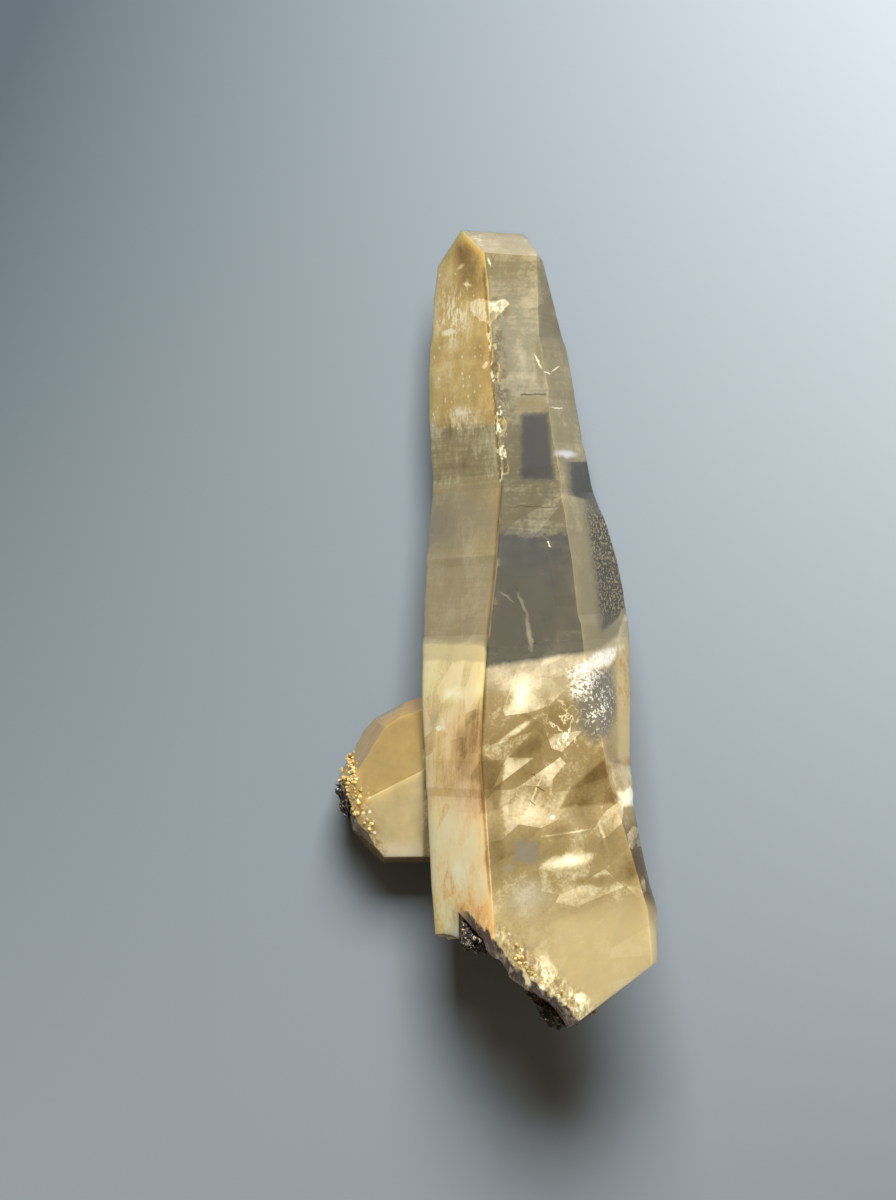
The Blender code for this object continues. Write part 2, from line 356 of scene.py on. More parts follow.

# The growth zones on each side of the wand, as (along, colour) from the base to the tip. Each side's
# colours are also painted lighter or darker for how much light reaches it through the crystal, and the
# front's smoke from 51 to 68 along is painted shade for the shadowed floor seen through the clear window.
ZONE_ENDS = (0.0, 112.0)
LEFT_ZONES = (
    (18.0, GOLD), (21.0, STRAW), (29.0, STRAW), (34.0, HONEY), (42.0, HONEY), (47.0, PALE_HONEY),
    (53.0, PALE_HONEY), (53.5, TAN), (74.0, TAN), (75.0, GREY_BROWN), (82.5, GREY_BROWN), (83.5, AMBER),
)
FRONT_ZONES = (
    (16.0, FACET_TAN), (22.0, BROWN_HONEY), (27.0, BROWN_HONEY), (31.0, STRAW_BROWN), (36.0, DEEP_HONEY),
    (41.0, DEEP_HONEY), (46.0, BROWN_HONEY), (50.5, VEIL_TAN), (51.0, SMOKE), (59.0, SMOKE),
    (67.5, DEEP_SMOKE), (69.0, SMOKY_TAN), (84.0, SMOKY_TAN), (88.0, CREAM_GREY), (96.0, CREAM_GREY),
    (104.0, DUSK),
)
RIGHT_ZONES = (
    (15.0, CREAM_TAN), (20.0, DARK_BROWN), (27.0, DARK_BROWN), (32.0, STRAW_BROWN), (48.5, STRAW_BROWN),
    (50.5, VEIL_TAN), (51.0, GREY_TAN), (91.0, GREY_TAN), (97.0, DUSK),
)
BACK_ZONES = ((24.0, HONEY), (48.0, PALE_HONEY), (56.0, TAN), (94.0, TAN), (106.0, AMBER))

# The bright growth front across the wand: how far along it lies at each place across.
GROWTH_FRONT = (
    (-12.0, 50.8), (-2.2, 50.8), (-2.0, 50.2), (2.3, 50.9), (5.6, 51.2), (8.0, 51.7), (11.0, 52.0),
    (13.5, 52.6), (16.1, 54.4), (17.1, 57.1), (20.0, 60.0),
)
GROWTH_FRONT_ALONG = 50.8
# The left ridge of the wand: how far across it lies at each place along.
LEFT_RIDGE = ((0.0, -0.8), (17.0, -1.1), (38.0, -2.5), (53.4, -1.6), (64.0, -0.5), (74.5, 0.3),
              (83.8, -0.4), (94.0, -1.2), (106.0, -2.1))
# The inner border of the dark strip down the right side, in the same way.
STRIP_EDGE = ((45.0, 15.4), (54.0, 14.2), (58.0, 13.7), (62.5, 13.2), (66.0, 12.7), (72.8, 12.1),
              (73.3, 9.9), (77.8, 9.6), (78.2, 12.8), (84.0, 12.8))

# Painted glows and glints (above 0) and painted shade (below 0) inside the crystal, seen from the front;
# a few stand for real marks: a pale vein from 54 to 60 along and three thin dark needles from 32 to 36
# along. Ovals are given by middle, reach, turn in degrees and softness; facets by corners and softness.
OVAL_TONES = (
    ((-6.4, 46.3), (2.3, 1.6), 10, 0.9, 0.8),
    ((-7.6, 42.6), (1.3, 4.2), -38, 0.9, 0.45),
    ((-8.3, 41.7), (0.55, 0.45), 0, 0.6, 0.9),
    ((-5.6, 26.6), (3.8, 5.4), 0, 0.9, 0.4),
    ((-5.6, 22.8), (1.4, 2.6), 20, 0.9, 0.45),
    ((-7.6, 16.6), (1.5, 2.6), 0, 0.9, 0.4),
    ((-5.6, 84.4), (2.2, 2.0), 0, 0.9, 0.45),
    ((-6.0, 77.6), (3.4, 0.7), 0, 0.9, -0.4),
    ((-5.3, 105.0), (0.75, 0.32), 35, 0.5, 1.0),
    ((-4.3, 102.4), (1.05, 0.34), -35, 0.8, 0.95),
    ((-4.4, 102.5), (0.3, 0.95), 0, 0.8, 0.7),
    ((-6.4, 100.8), (0.3, 1.9), -8, 0.8, 0.5),
    ((-7.0, 96.1), (1.25, 0.5), 5, 0.6, 1.0),
    ((-6.6, 94.2), (2.0, 1.6), 0, 0.9, 0.25),
    ((-1.9, 91.0), (0.35, 0.85), -35, 0.5, 0.95),
    ((-1.35, 105.2), (0.16, 0.8), 15, 0.5, 0.8),
    ((2.3, 48.2), (4.8, 1.9), 8, 0.9, 0.3),
    ((2.6, 46.2), (1.6, 3.0), -12, 0.9, 0.5),
    ((0.2, 44.0), (0.8, 3.6), -30, 0.9, -0.25),
    ((2.2, 41.9), (5.0, 0.6), 33, 0.8, 0.55),
    ((3.6, 39.4), (4.2, 1.5), 30, 0.9, -0.45),
    ((3.4, 31.2), (2.4, 3.2), 15, 0.9, 0.35),
    ((8.6, 24.4), (5.6, 1.3), 10, 0.9, 0.7),
    ((12.4, 21.8), (4.8, 1.1), 4, 0.9, -0.5),
    ((17.4, 23.6), (2.2, 3.0), -15, 0.9, -0.6),
    ((7.6, 28.4), (2.2, 1.3), 10, 0.8, -0.4),
    ((11.0, 31.0), (2.6, 2.8), 10, 0.9, -0.55),
    ((8.8, 28.2), (5.0, 0.2), 9, 0.8, 0.5),
    ((4.6, 33.6), (0.2, 3.4), -22, 0.8, 0.35),
    ((-0.7, 29.5), (1.5, 9.0), 3, 0.9, -0.35),
    ((6.2, 36.4), (2.6, 1.8), -20, 0.9, 0.25),
    ((13.6, 27.6), (0.35, 3.6), 16, 0.9, 0.4),
    ((-3.8, 103.4), (2.6, 6.4), 6, 0.9, -0.8),
    ((-3.0, 93.0), (1.6, 4.0), 0, 0.9, -0.45),
    ((-8.9, 99.0), (0.8, 8.0), 0, 0.9, 0.3),
    ((-6.0, 107.0), (3.2, 2.6), 0, 0.9, -0.5),
    ((4.0, 71.7), (4.6, 0.12), 0, 0.8, -0.5),
    ((2.9, 91.5), (1.6, 4.4), 8, 0.9, 0.16),
    ((6.9, 30.3), (0.42, 0.36), 0, 0.6, 1.0),
    ((6.6, 66.6), (0.5, 0.13), -50, 0.5, 1.0),
    ((6.35, 66.95), (0.28, 0.15), 20, 0.5, 1.0),
    ((3.8, 54.6), (0.5, 3.4), 8, 0.9, 0.35),
    ((2.9, 58.6), (0.35, 2.6), 22, 0.9, 0.22),
    ((0.9, 59.4), (1.7, 0.14), -39, 0.8, 0.3),
    ((5.2, 91.4), (0.18, 1.5), 23, 0.6, 0.9),
    ((6.3, 89.8), (0.7, 0.16), -10, 0.6, 0.9),
    ((7.5, 90.5), (0.95, 0.14), 38, 0.6, 0.85),
    ((7.6, 85.1), (1.3, 0.14), 4, 0.6, 0.7),
    ((5.4, 91.5), (0.9, 5.0), 3, 0.8, -0.35),
    ((8.3, 95.6), (1.6, 3.0), 20, 0.9, -0.3),
    ((4.4, 35.8), (0.1, 0.5), 40, 0.5, -1.0),
    ((5.4, 34.0), (0.12, 0.85), 52, 0.5, -1.0),
    ((4.2, 32.2), (0.1, 0.6), 45, 0.5, -1.0),
    ((3.2, 20.6), (4.6, 5.2), 0, 0.9, 0.18),
    ((6.2, 10.4), (1.3, 2.6), 32, 0.9, 0.6),
    ((10.3, 6.4), (2.0, 0.9), -22, 0.8, 0.8),
)
FACET_TONES = (
    (((13.7, 37.9), (15.5, 32.2), (8.0, 31.6), (9.6, 34.4)), 0.6, -0.7),
    (((14.1, 37.8), (18.6, 37.8), (18.6, 31.4), (16.4, 31.6)), 0.5, 0.35),
    (((15.4, 33.6), (18.6, 33.9), (18.6, 31.4), (16.4, 31.6)), 0.8, 0.5),
    (((-2.8, 46.4), (-2.8, 35.0), (-5.4, 35.0), (-5.8, 41.0)), 1.2, -0.55),
    (((-2.9, 38.6), (0.5, 37.2), (-0.3, 31.2), (-2.9, 30.6)), 0.5, -0.42),
    (((2.9, 44.0), (9.0, 45.6), (9.6, 42.4), (6.0, 40.6)), 0.6, -0.22),
    (((-4.1, 99.8), (-2.7, 100.3), (-1.3, 99.4), (-1.3, 96.4), (-2.5, 97.0), (-3.5, 98.0)), 0.3, 0.85),
    (((-1.4, 99.7), (0.5, 99.9), (1.2, 99.2), (-0.1, 97.7), (-1.2, 96.6)), 0.3, 0.7),
)
# Places with a colour of their own: facets, then ovals, each with its softness, colour and strength. The
# first facet is painted shade, the shadowed floor seen darkly through a clear window, and the pale oval at
# (8.9, 78.9) is a painted glint.
FACET_TINTS = (
    # A painted window of shade: the shadowed floor seen darkly through the clear crystal.
    (((2.8, 84.2), (6.3, 84.3), (7.3, 75.2), (2.8, 75.2)), 0.9, "#505050", 0.95),
    (((2.2, 86.4), (6.0, 86.5), (6.1, 84.6), (2.0, 84.4)), 0.6, "#8c8060", 0.8),
    (((2.8, 87.0), (6.2, 87.0), (6.2, 86.75), (2.8, 86.7)), 0.15, "#5a523c", 0.8),
    (((5.5, 48.9), (8.8, 49.0), (9.1, 46.2), (5.4, 46.4)), 0.9, "#a49874", 0.6),
    (((1.9, 27.2), (5.0, 26.9), (4.7, 24.1), (1.8, 24.4)), 1.0, "#7c786c", 0.7),
    (((10.7, 47.8), (12.3, 49.1), (15.5, 50.6), (16.1, 44.7), (14.2, 41.0), (12.3, 40.2),
      (10.3, 42.1), (10.1, 45.5)), 2.0, "#6c6858", 0.9),
)
# The white veil that fans out under the growth front, a milky veil painted bright as light reflected off
# its fractures: two facets with their softness and strength.
VEIL = (
    (((9.0, 51.2), (10.7, 51.6), (13.6, 53.0), (17.4, 56.8), (17.0, 52.5), (14.5, 50.3), (9.0, 48.9)),
     0.8, 1.0),
    (((9.0, 50.0), (12.6, 51.5), (13.8, 49.6), (11.0, 46.2), (9.4, 46.2)), 1.6, 0.9),
)
OVAL_TINTS = (
    ((3.6, 19.6), (4.2, 3.8), 20, 1.0, "#b4aca0", 0.45),
    ((1.3, 23.6), (0.9, 0.7), -30, 0.7, "#8c887c", 0.7),
    # A painted glint on the right side.
    ((8.9, 78.9), (2.3, 0.8), 0, 0.9, "#dcdce0", 0.95),
    ((-8.9, 42.8), (0.8, 2.6), -10, 0.9, "#b0a894", 0.6),
)
# The smooth facet at the base's right, where the crystal is clear of clouds.
BASE_FACET = ((6.9, 16.3), (9.6, 17.4), (19.2, 20.4), (21.4, 17.6), (21.4, 11.6), (12.4, 4.2),
              (8.6, 7.1), (6.9, 11.8))

# Stretches along the wand, as (from, to, softness), and where things begin along it, as (from, to).
FRONT_BEND = (46.0, 60.0, 4.0)
WINDOW = (51.5, 68.0, 1.0)
CLEAR_WINDOW = (51.0, 68.0, 0.5)
GROOVED = (24.0, 48.0, 3.0)
SEAM = (20.0, 104.0, 1.0)
CRUMBLED = (75.0, 97.0, 1.0)
DARK_CRUMBS = (86.0, 96.0, 1.2)
GLINTING_CRUMBS = (77.0, 95.0, 1.5)
BANDED = (75.0, 83.6, 0.4)
DARK_STRIP = (53.0, 78.0, 0.5)
DOTTED = (57.0, 72.5, 1.5)
WORN_EDGE = (37.5, 53.0, 1.0)
SIDE_FOOT = (22.5, 25.5, 1.0)
LOWER_PART = (51.2, 50.6)
AMBER_PART = (80.0, 84.0)
RUST_PART = (42.0, 47.0)
# Places across the wand, in the same ways.
DARK_BESIDE_RIDGE = (0.0, 1.7, 0.5)
GLINTS_BESIDE_RIDGE = (-0.2, 1.3, 0.4)
LEFT_OF_RIDGE = (0.2, -0.4)
WORN_EDGE_ACROSS = (15.5, 16.1)
CRUST_END = (13.0, 11.0)
STAIN_END = (-6.0, -4.0)
SIDE_CRYSTAL = (-10.2, -10.8)
# The broken base and the broken end of the side crystal: a point and the direction into the quartz.
BASE_BREAK = ((3.2, 10.1), (0.643, 0.766))
SIDE_BREAK = ((-19.9, 31.0), (0.94, 0.30))

# The noises that the crystal's parts share: size in millimetres, stretch, detail, roughness and turn.
EVEN = (1.0, 1.0, 1.0)
NOISES = {
    "drift": (6.0, EVEN, 2.0, 0.55, 0.0),
    "fine": (1.3, EVEN, 4.0, 0.55, 0.0),
    "crumbs": (0.8, (1.0, 1.8, 1.0), 3.0, 0.7, 0.0),
    "cloud": (4.2, (1.0, 1.6, 1.0), 4.0, 0.65, 0.0),
    "streak": (1.1, (4.0, 0.7, 1.5), 3.0, 0.55, 38.0),
    "lines": (0.4, (16.0, 1.0, 16.0), 2.0, 0.55, 0.0),
    "grain": (0.4, EVEN, 2.0, 0.7, 0.0),
    "grooves": (0.5, (1.0, 14.0, 1.0), 2.0, 0.55, -4.0),
}
FACET_CELLS = (3.6, (1.9, 0.8, 1.0), 36.0)
SPECK_CELLS = 0.8


class Quartz:
    """The crystal's material. Its parts add to one tone and paint over one tint."""

    def __init__(self, name):
        self.g = g = Graph(name)
        self.x, self.y, self.where = g.place()
        self.nx, self.ny, self.nz = g.facing()
        self.drift = self.swing("drift")
        self.fine = self.swing("fine")
        self.crumbs = self.noise("crumbs")
        bend = (g.follow(self.x, GROWTH_FRONT) - GROWTH_FRONT_ALONG) * self.y.between(*FRONT_BEND)
        self.along = self.y - bend + self.drift * 0.7 + self.fine * 0.6
        self.tint = self.zones()
        self.lower = self.along.rise(*LOWER_PART)
        self.cloud = self.swing("cloud")
        self.streak = self.swing("streak")
        self.lines = self.swing("lines")
        _, self.facet = g.cells(self.where, *FACET_CELLS)
        self.grain = self.swing("grain")
        self.speckled = g.cells(self.where, SPECK_CELLS)
        self.tone = self.clouds()

    def noise(self, name):
        return self.g.noise(self.where, *NOISES[name])

    def swing(self, name):
        """One of the noises, from about -0.5 to 0.5."""
        return self.noise(name) - 0.5

    def oval(self, middle, reach, turn=0, soft=0.9, top=1.0):
        return self.g.oval(self.spot, middle, reach, turn, soft, top)

    def polygon(self, corners, soft, top=1.0):
        return self.g.polygon(self.spot, corners, soft, top)

    def specks(self, share, reach):
        return self.g.specks(self.speckled, share, reach)

    def paint(self, share, code):
        """Blends this colour over the tint."""
        self.tint = self.g.blend(share, self.tint, colour(code))

    def zones(self):
        """The growth zones on each side of the wand, each side also painted lighter or darker for its light,
        and the peach tip.
        """
        g, along = self.g, self.along
        tint = g.blend(self.nx.rise(0.3, 0.6), g.zones(along, FRONT_ZONES, *ZONE_ENDS),
                       g.zones(along, RIGHT_ZONES, *ZONE_ENDS))
        tint = g.blend(self.nx.rise(-0.3, -0.6), tint, g.zones(along, LEFT_ZONES, *ZONE_ENDS))
        tip = self.ny.rise(0.35, 0.5) * self.nz.rise(0.1, 0.3)
        return g.blend(tip, tint, colour(TIP_CREAM))

    def clouds(self):
        """Clouds and facets in the lower half, a plainer haze above, and calm clear places."""
        rich = self.cloud * 1.45 + self.streak * 0.25 + (self.facet - 0.5) * 0.5 + self.grain * 0.6
        plain = self.cloud * 0.35 + self.lines * 0.3 + self.fine * 0.3 + self.grain * 0.15
        self.spot = self.g.spot(self.x + self.fine * 0.9 + self.drift * 0.4, self.y + self.fine * 0.8)
        self.ridge = self.x - self.g.follow(self.y, LEFT_RIDGE)
        window = self.y.between(*WINDOW) * self.ridge.rise(0.0, 0.6)
        calm = self.polygon(BASE_FACET, 1.2).most(window * 0.8)
        noises = plain + (rich - plain) * (0.25 + self.lower * 0.75)
        return noises * (1.0 - calm * 0.75)

    def add_glows(self):
        """Painted glows, glints and shadows inside the crystal, among them bright flakes and hair cracks."""
        for middle, reach, turn, soft, strength in OVAL_TONES:
            self.tone = self.tone + self.oval(middle, reach, turn, soft, strength)
        for corners, soft, strength in FACET_TONES:
            self.tone = self.tone + self.polygon(corners, soft, strength)
        cracked = self.oval((8.4, 42.4), (4.0, 4.8), 0, 0.7, 0.8)
        self.tone = self.tone + self.cloud.line(0.0, 0.02) * cracked

    def add_ridge(self):
        """The left ridge: a dark seam, crumbled near the tip, with dark crumbs and golden crumbs painted
        bright as glints.
        """
        ridge, y, crumbs = self.ridge, self.y, self.crumbs
        dark = ridge.between(*DARK_BESIDE_RIDGE) * y.between(*DARK_CRUMBS) * crumbs.rise(0.42, 0.58)
        # Golden crumbs by the ridge are painted bright as glints.
        ridge_glints = ridge.between(*GLINTS_BESIDE_RIDGE) * y.between(*GLINTING_CRUMBS) * crumbs.rise(0.56, 0.66)
        seam = ridge.line(-0.2, 0.4) * y.between(*SEAM)
        crumbled = y.between(*CRUMBLED) * crumbs.rise(0.5, 0.6)
        self.tone = self.tone - dark * 0.7 + ridge_glints * 0.9 + seam * (crumbled * 1.75 - 0.8)

    def add_left_side(self):
        """The left side: grooves and grit low down, bands above them, painted glints and flakes in the
        amber.
        """
        y, crumbs, cloud = self.y, self.crumbs, self.cloud
        left = self.ridge.rise(*LEFT_OF_RIDGE)
        grooves = self.swing("grooves")
        self.tone = self.tone + left * y.between(*GROOVED) * grooves * 0.8
        grit = self.oval((-4.6, 21.6), (3.6, 4.6))
        self.tone = self.tone + grit * ((crumbs - 0.42) * 2.4 + self.fine)
        banded = left * y.between(*BANDED)
        self.tone = self.tone + banded * (self.lines * 0.4 + (crumbs - 0.5) * 0.9 + cloud * 0.8)
        amber = left * y.rise(*AMBER_PART)
        self.tone = self.tone + amber * (cloud * 1.1 + self.grain * 0.5)
        # Painted glints: bright crumbs and specks in the amber.
        glints = self.oval((-6.4, 98.6), (3.2, 6.4), 4).most(self.oval((-5.2, 84.0), (3.6, 2.4)))
        self.tone = self.tone + amber * glints * crumbs.rise(0.47, 0.58) * 0.95
        self.tone = self.tone + amber * self.specks(0.14, 0.36) * 0.7
        flake = self.oval((-1.4, 98.5), (3.2, 2.4), 0, 0.5)
        self.tone = self.tone - flake * crumbs.rise(0.56, 0.46) * 0.5

    def add_crust(self):
        """Rough quartz along the broken base, with bright specks painted as glints."""
        (x, y), (across, along) = BASE_BREAK
        self.depth = (self.x - x) * across + (self.y - y) * along
        crust = self.depth.rise(3.2, 1.4) * self.x.rise(*CRUST_END) * (self.x.rise(-1.5, 0.5) * 0.6 + 0.4)
        # The bright specks are painted glints.
        rough = (self.crumbs.rise(0.3, 0.7) - 0.5) * 1.3 + self.specks(0.3, 0.34)
        self.tone = self.tone + crust * rough

    def use_tone(self):
        """Paints the tone: painted glow on the tint where it is above 0 and painted shade where it is below,
        for the glows, glints, shadows and random clouds that the tone holds.
        """
        shadow = (0.0 - self.tone).most(0.0).least(1.0)
        self.tint = self.g.blend(shadow, self.tint, DEEPENING, "MULTIPLY")
        self.paint(self.tone.most(0.0).least(1.0), PAINTED_GLOW)

    def add_marks(self):
        """The places with a colour of their own, among them a painted window of shade and a painted glint.
        """
        for middle, reach, turn, soft, code, strength in OVAL_TINTS:
            self.paint(self.oval(middle, reach, turn, soft, strength), code)
        for corners, soft, code, strength in FACET_TINTS:
            self.paint(self.polygon(corners, soft, strength), code)

    def add_dark_strip(self):
        """The dark strip down the right side, painted shade for the dark surroundings seen through it, with
        a row of fine dots.
        """
        inward = self.x - self.g.follow(self.y, STRIP_EDGE) + self.fine * 0.8
        strip = self.nx.rise(0.4, 0.6) * inward.rise(-1.3, 0.6) * self.along.between(*DARK_STRIP)
        # Painted shade: the dark surroundings seen through the right side.
        self.paint(strip * 0.95, STRIP_DARK)
        self.paint(strip * self.y.between(*DOTTED) * self.grain.rise(0.0, 0.1) * 0.85, STRIP_DOTS)

    def add_veil(self):
        """The white veil under the growth front, painted bright as light reflected off its fractures, and
        the painted glints in the dark patch below it.
        """
        grain, crumbs = self.grain, self.crumbs
        fan, fold = (self.polygon(corners, soft, top) for corners, soft, top in VEIL)
        veil = fan.most(fold * grain.rise(-0.08, 0.06))
        torn = (grain.rise(-0.12, 0.02) * 0.35 + self.streak * 0.8 + 0.6).least(1.0)
        # The veil: milky, and painted bright as light reflected off its fractures.
        self.paint(veil * torn, VEIL_AND_REFLECTION_WHITE)
        glinting_patch = self.oval((13.2, 45.4), (3.4, 5.8))
        self.paint(glinting_patch * crumbs.rise(0.46, 0.62) * 0.45, GLITTER_DARK)
        # Painted glints in the dark patch.
        self.paint(glinting_patch * (grain + self.fine * 0.6).rise(0.03, 0.16) * 0.85, PAINTED_GLINT_WHITE)

    def add_worn_edge(self):
        """The worn right edge beside the veil, with a little rust."""
        edge = self.x.rise(*WORN_EDGE_ACROSS) * self.y.between(*WORN_EDGE)
        self.paint(edge * 0.8, EDGE_TAN)
        self.paint(edge * self.crumbs.rise(0.5, 0.62) * self.y.rise(*RUST_PART) * 0.7, EDGE_RUST)

    def add_stain(self):
        """The dark stain of the matrix along the broken base, and one pale tooth of quartz in it."""
        ragged = self.depth + self.fine * 2.4 + self.x.rise(-2.0, 2.0) * 0.9
        stain = ragged.rise(0.7, 0.2) * self.x.rise(*STAIN_END) * self.x.rise(*CRUST_END)
        stain = stain.most(self.oval((8.0, 4.4), (3.0, 1.2), -35, 0.8) * self.crumbs.rise(0.42, 0.52))
        stain_tint = self.g.blend(self.crumbs.rise(0.5, 0.66), colour(STAIN_DARK), colour(STAIN_GREY))
        self.tint = self.g.blend(stain * 0.95, self.tint, stain_tint)
        self.paint(self.oval((3.4, 8.8), (0.5, 1.3), 30, 0.5, 0.9), TOOTH)

    def add_back(self):
        back = self.g.shade(0.95 + self.cloud * 0.5, self.g.zones(self.along, BACK_ZONES, *ZONE_ENDS))
        self.tint = self.g.blend(self.nz.rise(0.15, 0.0), self.tint, back)

    def add_side_crystal(self):
        """The smaller crystal: amber above, paler below, stained at its broken end and speckled there with
        painted glints.
        """
        g, wand = self.g, self.tint
        self.side = self.x.rise(*SIDE_CRYSTAL)
        self.tint = g.blend((self.ny * 2.0).rise(-0.5, 0.5), colour(SIDE_PALE), colour(SIDE_AMBER))
        self.paint(self.nz.rise(0.85, 0.6), SIDE_RIM)
        self.tint = g.shade(0.98 + self.cloud * 0.6 + self.fine * 0.3, self.tint)
        self.paint(self.y.between(*SIDE_FOOT) * 0.35, SIDE_CREAM)
        (x, y), (across, along) = SIDE_BREAK
        end = ((self.x - x) * -across - (self.y - y) * along).rise(-2.6, -1.4)
        self.paint(end * self.crumbs.rise(0.4, 0.6), SIDE_BROWN)
        # Painted glints at the broken end.
        self.paint(end * self.specks(0.4, 0.36), PAINTED_GLOW)
        self.tint = g.blend(self.side, wand, self.tint)

    def finish(self):
        """Clear quartz and milky quartz in one, with smoky absorption."""
        g = self.g
        window = self.nz.rise(0.8, 0.95) * self.along.between(*CLEAR_WINDOW)
        clear = g.node("ShaderNodeBsdfPrincipled", {}, Base_Color=self.tint, Roughness=0.07, IOR=QUARTZ_IOR,
                       Transmission_Weight=0.9)
        milky = g.node("ShaderNodeBsdfPrincipled", {}, Base_Color=self.tint, Roughness=0.12, IOR=QUARTZ_IOR,
                       Transmission_Weight=0.5, Subsurface_Weight=1.0, Subsurface_Radius=(1.0, 0.8, 0.45),
                       Subsurface_Scale=0.006)
        milkiness = (0.62 + self.lower * 0.28 - window * 0.2 + self.side * 0.35).least(0.95)
        surface = g.node("ShaderNodeMixShader", {}, milkiness, clear.out(), milky.out())
        volume = g.node("ShaderNodeVolumeAbsorption", {}, Color=colour(ABSORPTION), Density=22.0)
        return g.finish(surface.out(), volume.out())


def crystal_material():
    """Smoky citrine: growth zones in amber, tan, grey and yellow, clear windows and milky veils, with
    painted glows, glints and shade.
    """
    quartz = Quartz("smoky_citrine")
    quartz.add_glows()
    quartz.add_ridge()
    quartz.add_left_side()
    quartz.add_crust()
    quartz.use_tone()
    quartz.add_marks()
    quartz.add_dark_strip()
    quartz.add_veil()
    quartz.add_worn_edge()
    quartz.add_stain()
    quartz.add_back()
    quartz.add_side_crystal()
    return quartz.finish()


def welded_copy(node):
    """The bmesh of a CAD node, its loose triangles joined and its flat faces made whole."""
    bm = bmesh.new()
    bm.from_mesh(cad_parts[node].data)
    bmesh.ops.remove_doubles(bm, verts=bm.verts, dist=WELD_REACH * MM)
    bmesh.ops.dissolve_limit(bm, angle_limit=math.radians(FLAT_ANGLE), verts=bm.verts, edges=bm.edges)
    return bm


def as_mesh(name, bm):
    """The bmesh as a mesh. The bmesh is freed."""
    mesh = bpy.data.meshes.new(name)
    bm.to_mesh(mesh)
    bm.free()
    return mesh


def place_object(name, data):
    """Puts an object with this data in the scene."""
    placed = bpy.data.objects.new(name, data)
    bpy.context.scene.collection.objects.link(placed)
    return placed


def new_piece(name, mesh):
    """Makes a mesh a piece that rides with the wand."""
    piece = place_object(name, mesh)
    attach(piece, "root")
    return piece


def make_crystal(material):
    """The whole crystal, with its long edges a little worn."""
    bm = welded_copy("quartz_crystal")
    worn = []
    for edge in bm.edges:
        if len(edge.link_faces) != 2 or edge.calc_length() < EDGE_LEAST_LENGTH * MM:
            continue
        if min(face.calc_area() for face in edge.link_faces) < EDGE_LEAST_AREA * MM * MM:
            continue
        if edge.calc_face_angle() > math.radians(EDGE_LEAST_ANGLE) and edge.is_convex:
            worn.append(edge)
    bmesh.ops.bevel(bm, geom=worn, offset=EDGE_WEAR * MM, offset_type="OFFSET", segments=2,
                    profile=0.5, affect="EDGES", clamp_overlap=True)
    bmesh.ops.triangulate(bm, faces=[face for face in bm.faces if len(face.verts) > 4])
    mesh = as_mesh("crystal", bm)
    mesh.materials.append(material)
    piece = new_piece("crystal", mesh)
    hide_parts("quartz_crystal")


# ---------------------------------------------------------------- matrix
MATRIX_DENT = 0.45
MATRIX_BLACK = "#1f1a1f"
MATRIX_BROWN = "#453d38"
MATRIX_GOLD = "#8f8450"
MATRIX_SILVER = "#c6c4bc"


def matrix_material():
    """Dark matrix with purple-black grains and a few silvery and golden glints."""
    g = Graph("dark_matrix")
    _, _, where = g.place()
    patches = g.noise(where, 1.4, detail=4.0)
    tint = g.blend(patches.rise(0.42, 0.62), colour(MATRIX_BLACK), colour(MATRIX_BROWN))
    golden = g.noise(where, 0.45, detail=2.0).rise(0.6, 0.66)
    tint = g.blend(golden, tint, colour(MATRIX_GOLD))
    silver = g.noise(where, 0.3, detail=2.0).rise(0.64, 0.7)
    tint = g.blend(silver, tint, colour(MATRIX_SILVER))
    grain = g.noise(where, 0.5, detail=6.0)
    body = g.node("ShaderNodeBsdfPrincipled", {}, Base_Color=tint, Roughness=0.55 - silver * 0.35,
                  Normal=g.bump(grain, 0.6, 0.0003))
    return g.finish(body.out())


def make_matrix(node, material):
    """A crust of matrix, its surface broken up into small grains and hollows."""
    bm = welded_copy(node)
    bmesh.ops.triangulate(bm, faces=bm.faces)
    bmesh.ops.subdivide_edges(bm, edges=bm.edges, cuts=2, use_grid_fill=True)
    bm.normal_update()
    for vert in bm.verts:
        place = vert.co / MM
        lumps = abs(noise.noise(place * 0.9))
        crumbs = abs(noise.noise(place * 2.3)) * 0.6
        dust = noise.noise(place * 5.0) * 0.3
        vert.co -= vert.normal * (max(0.0, lumps + crumbs + dust) * MATRIX_DENT * MM)
    mesh = as_mesh(node + "_grains", bm)
    mesh.materials.append(material)
    piece = new_piece(node + "_grains", mesh)
    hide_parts(node)


# ---------------------------------------------------------------- druse
# Small crystals near the broken ends: limits to the ground they grow on, as (point, outward direction),
# the way the broken surface faces, spacing, smallest and largest crystal in millimetres, and seed.
DRUSES = {
    "druse_base": (
        (((4.6, 11.8, 15.0), (0.643, 0.766, 0.0)), ((3.2, 10.1, 0.0), (-0.643, -0.766, 0.0)),
         ((2.0, 0.0, 0.0), (-1.0, 0.0, 0.0)), ((12.6, 0.0, 0.0), (1.0, 0.0, 0.0)),
         ((0.0, 0.0, 15.0), (0.0, 0.0, -1.0))),
        (-0.643, -0.766, -0.10), 0.4, (0.25, 0.7), 4,
    ),
    "druse_side": (
        (((-18.6, 31.4, 7.0), (0.94, 0.30, 0.0)), ((0.0, 26.5, 0.0), (0.0, -1.0, 0.0)),
         ((0.0, 37.5, 0.0), (0.0, 1.0, 0.0)), ((0.0, 0.0, 3.0), (0.0, 0.0, -1.0))),
        (-0.94, -0.30, 0.12), 0.4, (0.25, 0.65), 9,
    ),
}
